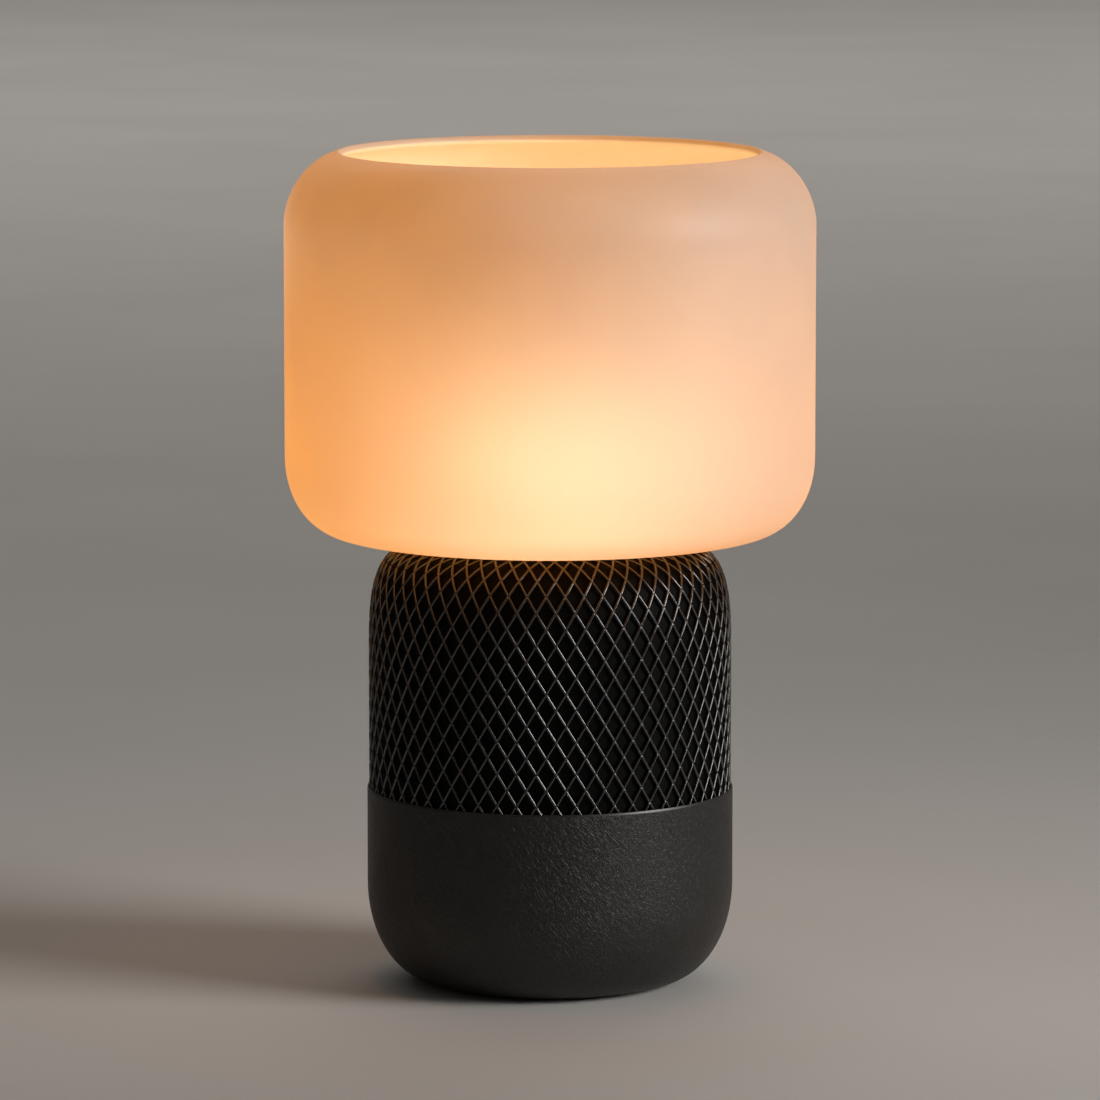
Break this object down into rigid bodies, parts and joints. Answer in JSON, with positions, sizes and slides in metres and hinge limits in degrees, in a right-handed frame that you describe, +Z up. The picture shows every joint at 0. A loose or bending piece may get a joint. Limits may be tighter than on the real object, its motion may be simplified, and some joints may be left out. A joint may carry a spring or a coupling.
{
  "type": "smart speaker",
  "caption": "Table-lamp smart speaker: open-topped opal glass shade over a round lattice-grille speaker body with a rounded lower bowl.",
  "frame": {"origin": "on the table surface, on the body's vertical axis", "axes": "+Z up along the body's axis, front of the speaker faces -Y, connectors at +Y, +X to the right seen from the front"},
  "size_m": [0.2308, 0.2308, 0.3636],
  "materials": {
    "opal_glass": "satin",
    "lamp_diffuser": "satin",
    "white_plastic": "satin",
    "charcoal_shell": "matte",
    "grille_black": "satin",
    "sleeve_black": "satin",
    "satin_black": "satin",
    "inner_black": "matte",
    "foot_rubber": "matte",
    "silicone": "matte",
    "nickel": "gloss",
    "brass": "satin",
    "steel": "satin",
    "aluminium": "satin",
    "ferrite": "matte",
    "coil_winding": "gloss",
    "paper_cone": "matte",
    "treated_fabric": "matte",
    "circuit_board": "satin",
    "porcelain": "satin",
    "transformer_wrap": "satin",
    "capacitor_sleeve": "gloss",
    "clear_light_pipe": "gloss",
    "cable": "satin"
  },
  "bodies": {
    "base": {"lower_housing": "charcoal_shell", "bottom_cover": "inner_black", "foot_ring": "foot_rubber", "cover_screw_1": "steel", "cover_screw_2": "steel", "cover_screw_3": "steel", "cover_screw_4": "steel", "grille_mesh": "grille_black", "acoustic_sleeve": "sleeve_black", "top_cap": "satin_black", "shade_gasket": "silicone", "socket_shell": "porcelain", "socket_sleeve": "brass", "socket_contact": "brass", "speaker_enclosure": "inner_black", "front_baffle": "inner_black", "woofer_basket": "steel", "woofer_magnet": "ferrite", "woofer_yoke": "steel", "woofer_surround": "foot_rubber", "woofer_spider": "treated_fabric", "woofer_screw_1": "steel", "woofer_screw_2": "steel", "woofer_screw_3": "steel", "woofer_screw_4": "steel", "tweeter_frame": "inner_black", "tweeter_magnet": "ferrite", "main_board": "circuit_board", "heat_sink": "aluminium", "power_board": "circuit_board", "transformer": "transformer_wrap", "capacitor": "capacitor_sleeve", "lamp_lead": "cable", "antenna_left": "circuit_board", "antenna_right": "circuit_board", "rear_panel": "satin_black", "power_inlet": "inner_black", "inlet_pin_left": "nickel", "inlet_pin_right": "nickel", "ethernet_jack": "inner_black", "status_light": "clear_light_pipe", "button_board": "circuit_board", "switch_housing": "inner_black", "rocker_pin": "steel"},
    "shade": {"glass_shade": "opal_glass", "shade_fitter": "satin_black", "shade_lock_ring": "satin_black"},
    "bulb": {"bulb_cap": "nickel", "bulb_body": "white_plastic", "bulb_dome": "lamp_diffuser"},
    "cone": {"woofer_cone": "paper_cone", "voice_coil": "coil_winding", "dust_cap": "paper_cone"},
    "tweeter": {"tweeter_dome": "treated_fabric"},
    "play_key": {"button_play": "satin_black"},
    "volume_up_key": {"button_volume_up": "satin_black"},
    "volume_down_key": {"button_volume_down": "satin_black"},
    "pair_key": {"pair_button": "satin_black"},
    "rocker": {"light_rocker": "satin_black"}
  },
  "joints": [
    {"name": "shade_lift", "type": "slide", "parent": "base", "child": "shade", "axis": [0, 0, 1], "range_m": [0, 0.12]},
    {"name": "bulb_lift", "type": "slide", "parent": "base", "child": "bulb", "axis": [0, 0, 1], "range_m": [0, 0.045]},
    {"name": "cone_travel", "type": "slide", "parent": "base", "child": "cone", "axis": [0, -1, 0], "range_m": [-0.004, 0.004], "stiffness_N_per_m": 1500, "deforming": ["woofer_surround", "woofer_spider"]},
    {"name": "tweeter_travel", "type": "slide", "parent": "base", "child": "tweeter", "axis": [0, -1, 0], "range_m": [-0.0003, 0.0003], "stiffness_N_per_m": 400},
    {"name": "play_press", "type": "slide", "parent": "base", "child": "play_key", "axis": [-0.788, -0.6157, 0], "range_m": [0, 0.0008], "stiffness_N_per_m": 400},
    {"name": "volume_up_press", "type": "slide", "parent": "base", "child": "volume_up_key", "axis": [-0.788, -0.6157, 0], "range_m": [0, 0.0008], "stiffness_N_per_m": 400},
    {"name": "volume_down_press", "type": "slide", "parent": "base", "child": "volume_down_key", "axis": [-0.788, -0.6157, 0], "range_m": [0, 0.0008], "stiffness_N_per_m": 400},
    {"name": "pair_press", "type": "slide", "parent": "base", "child": "pair_key", "axis": [0, -1, 0], "range_m": [0, 0.0006], "stiffness_N_per_m": 400},
    {"name": "lamp_rocker", "type": "hinge", "parent": "base", "child": "rocker", "pos_m": [-0.06036, 0.04716, 0.065], "axis": [0, 0, 1], "range_deg": [0, 20]}
  ]
}
